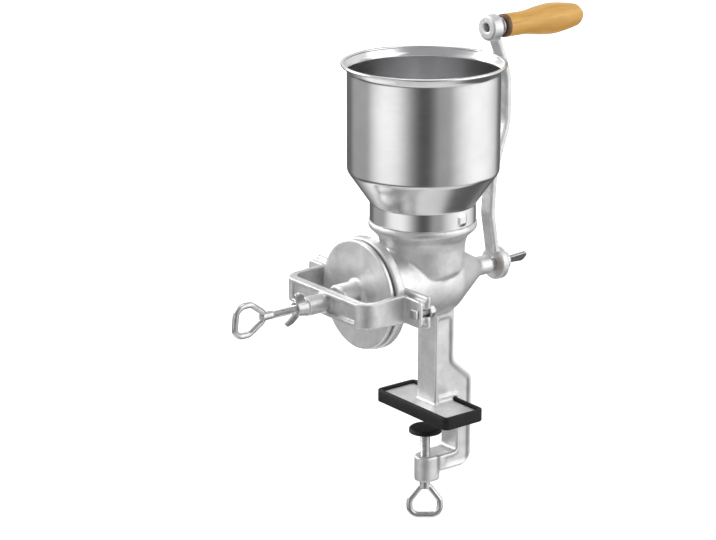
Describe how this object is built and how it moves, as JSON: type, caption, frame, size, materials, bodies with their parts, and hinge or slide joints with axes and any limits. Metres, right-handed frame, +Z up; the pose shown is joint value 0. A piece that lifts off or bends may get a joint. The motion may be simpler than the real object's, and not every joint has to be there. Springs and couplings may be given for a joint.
{
  "type": "hand crank grain and peanut mill",
  "caption": "Table-clamped hand mill with a tall steel hopper over a cast body, a crank with a wooden grip, and an adjusting screw in a yoke that presses the grinding plates together.",
  "frame": {"origin": "underside of the rubber foot pad, straight below the axis of the hopper", "axes": "+Z up along the hopper, +X along the auger towards the crank, -Y towards the user"},
  "size_m": [0.4125, 0.172, 0.4965],
  "materials": {
    "hopper_steel": "polished sheet, light vertical brushing",
    "tinned_casting": "hot-tinned, satin, slightly mottled",
    "grey_iron": "ground face",
    "zinc_steel": "zinc plated, dull",
    "bronze": "plain turned",
    "black_rubber": "matt moulded",
    "turned_wood": "clear lacquer, darker end grain"
  },
  "bodies": {
    "mill": {"mill_body": "tinned_casting", "hopper_shell": "hopper_steel", "shaft_bush": "bronze", "foot_pad": "black_rubber", "fixed_plate": "grey_iron", "fixed_plate_screws": "zinc_steel", "yoke": "tinned_casting", "yoke_bolts": "zinc_steel", "yoke_washers": "zinc_steel", "yoke_nuts": "zinc_steel"},
    "thrust": {"thrust_ball": "zinc_steel"},
    "rotor": {"feed_auger": "tinned_casting", "plate_holder": "tinned_casting", "turning_plate": "grey_iron", "turning_plate_screws": "zinc_steel", "drive_pin": "zinc_steel", "crank_arm": "tinned_casting", "grip_bolt": "zinc_steel", "grip_lock_nut": "zinc_steel", "grip_washer": "zinc_steel"},
    "grip": {"wooden_grip": "turned_wood"},
    "thumb_screw": {"crank_thumb_screw": "zinc_steel"},
    "adjuster": {"adjusting_screw": "zinc_steel"},
    "lock_nut": {"wing_lock_nut": "zinc_steel"},
    "clamp_foot": {"swivel_foot": "zinc_steel", "swivel_cap": "black_rubber"},
    "clamp_handle": {"clamp_screw": "zinc_steel", "swivel_rivet": "zinc_steel"}
  },
  "joints": [
    {"name": "gap_adjust", "type": "slide", "parent": "mill", "child": "thrust", "axis": [1, 0, 0], "range_m": [-0.004, 0]},
    {"name": "crank_turn", "type": "hinge", "parent": "thrust", "child": "rotor", "pos_m": [0, 0, 0.136], "axis": [1, 0, 0], "continuous": true},
    {"name": "grip_spin", "type": "hinge", "parent": "rotor", "child": "grip", "pos_m": [0.094, 0, 0.37], "axis": [1, 0, 0], "continuous": true},
    {"name": "thumb_screw_turn", "type": "hinge", "parent": "rotor", "child": "thumb_screw", "pos_m": [0.105, 0, 0.136], "axis": [1, 0, 0], "range_deg": [0, 180]},
    {"name": "adjust_screw_turn", "type": "hinge", "parent": "thrust", "child": "adjuster", "pos_m": [-0.1, 0, 0.136], "axis": [1, 0, 0], "range_deg": [-1154, 0]},
    {"name": "lock_nut_turn", "type": "hinge", "parent": "mill", "child": "lock_nut", "pos_m": [-0.139, 0, 0.136], "axis": [1, 0, 0], "range_deg": [-180, 0]},
    {"name": "clamp_travel", "type": "slide", "parent": "mill", "child": "clamp_foot", "axis": [0, 0, 1], "range_m": [-0.0243, 0.004]},
    {"name": "clamp_screw_turn", "type": "hinge", "parent": "clamp_foot", "child": "clamp_handle", "pos_m": [0.0055, 0, -0.0202], "axis": [0, 0, 1], "range_deg": [-5834, 962]}
  ],
  "couplings": [
    {"joint": "adjust_screw_turn", "follows": "gap_adjust", "rad_per_m": 5026.5},
    {"joint": "clamp_screw_turn", "follows": "clamp_travel", "rad_per_m": 4188.8}
  ]
}
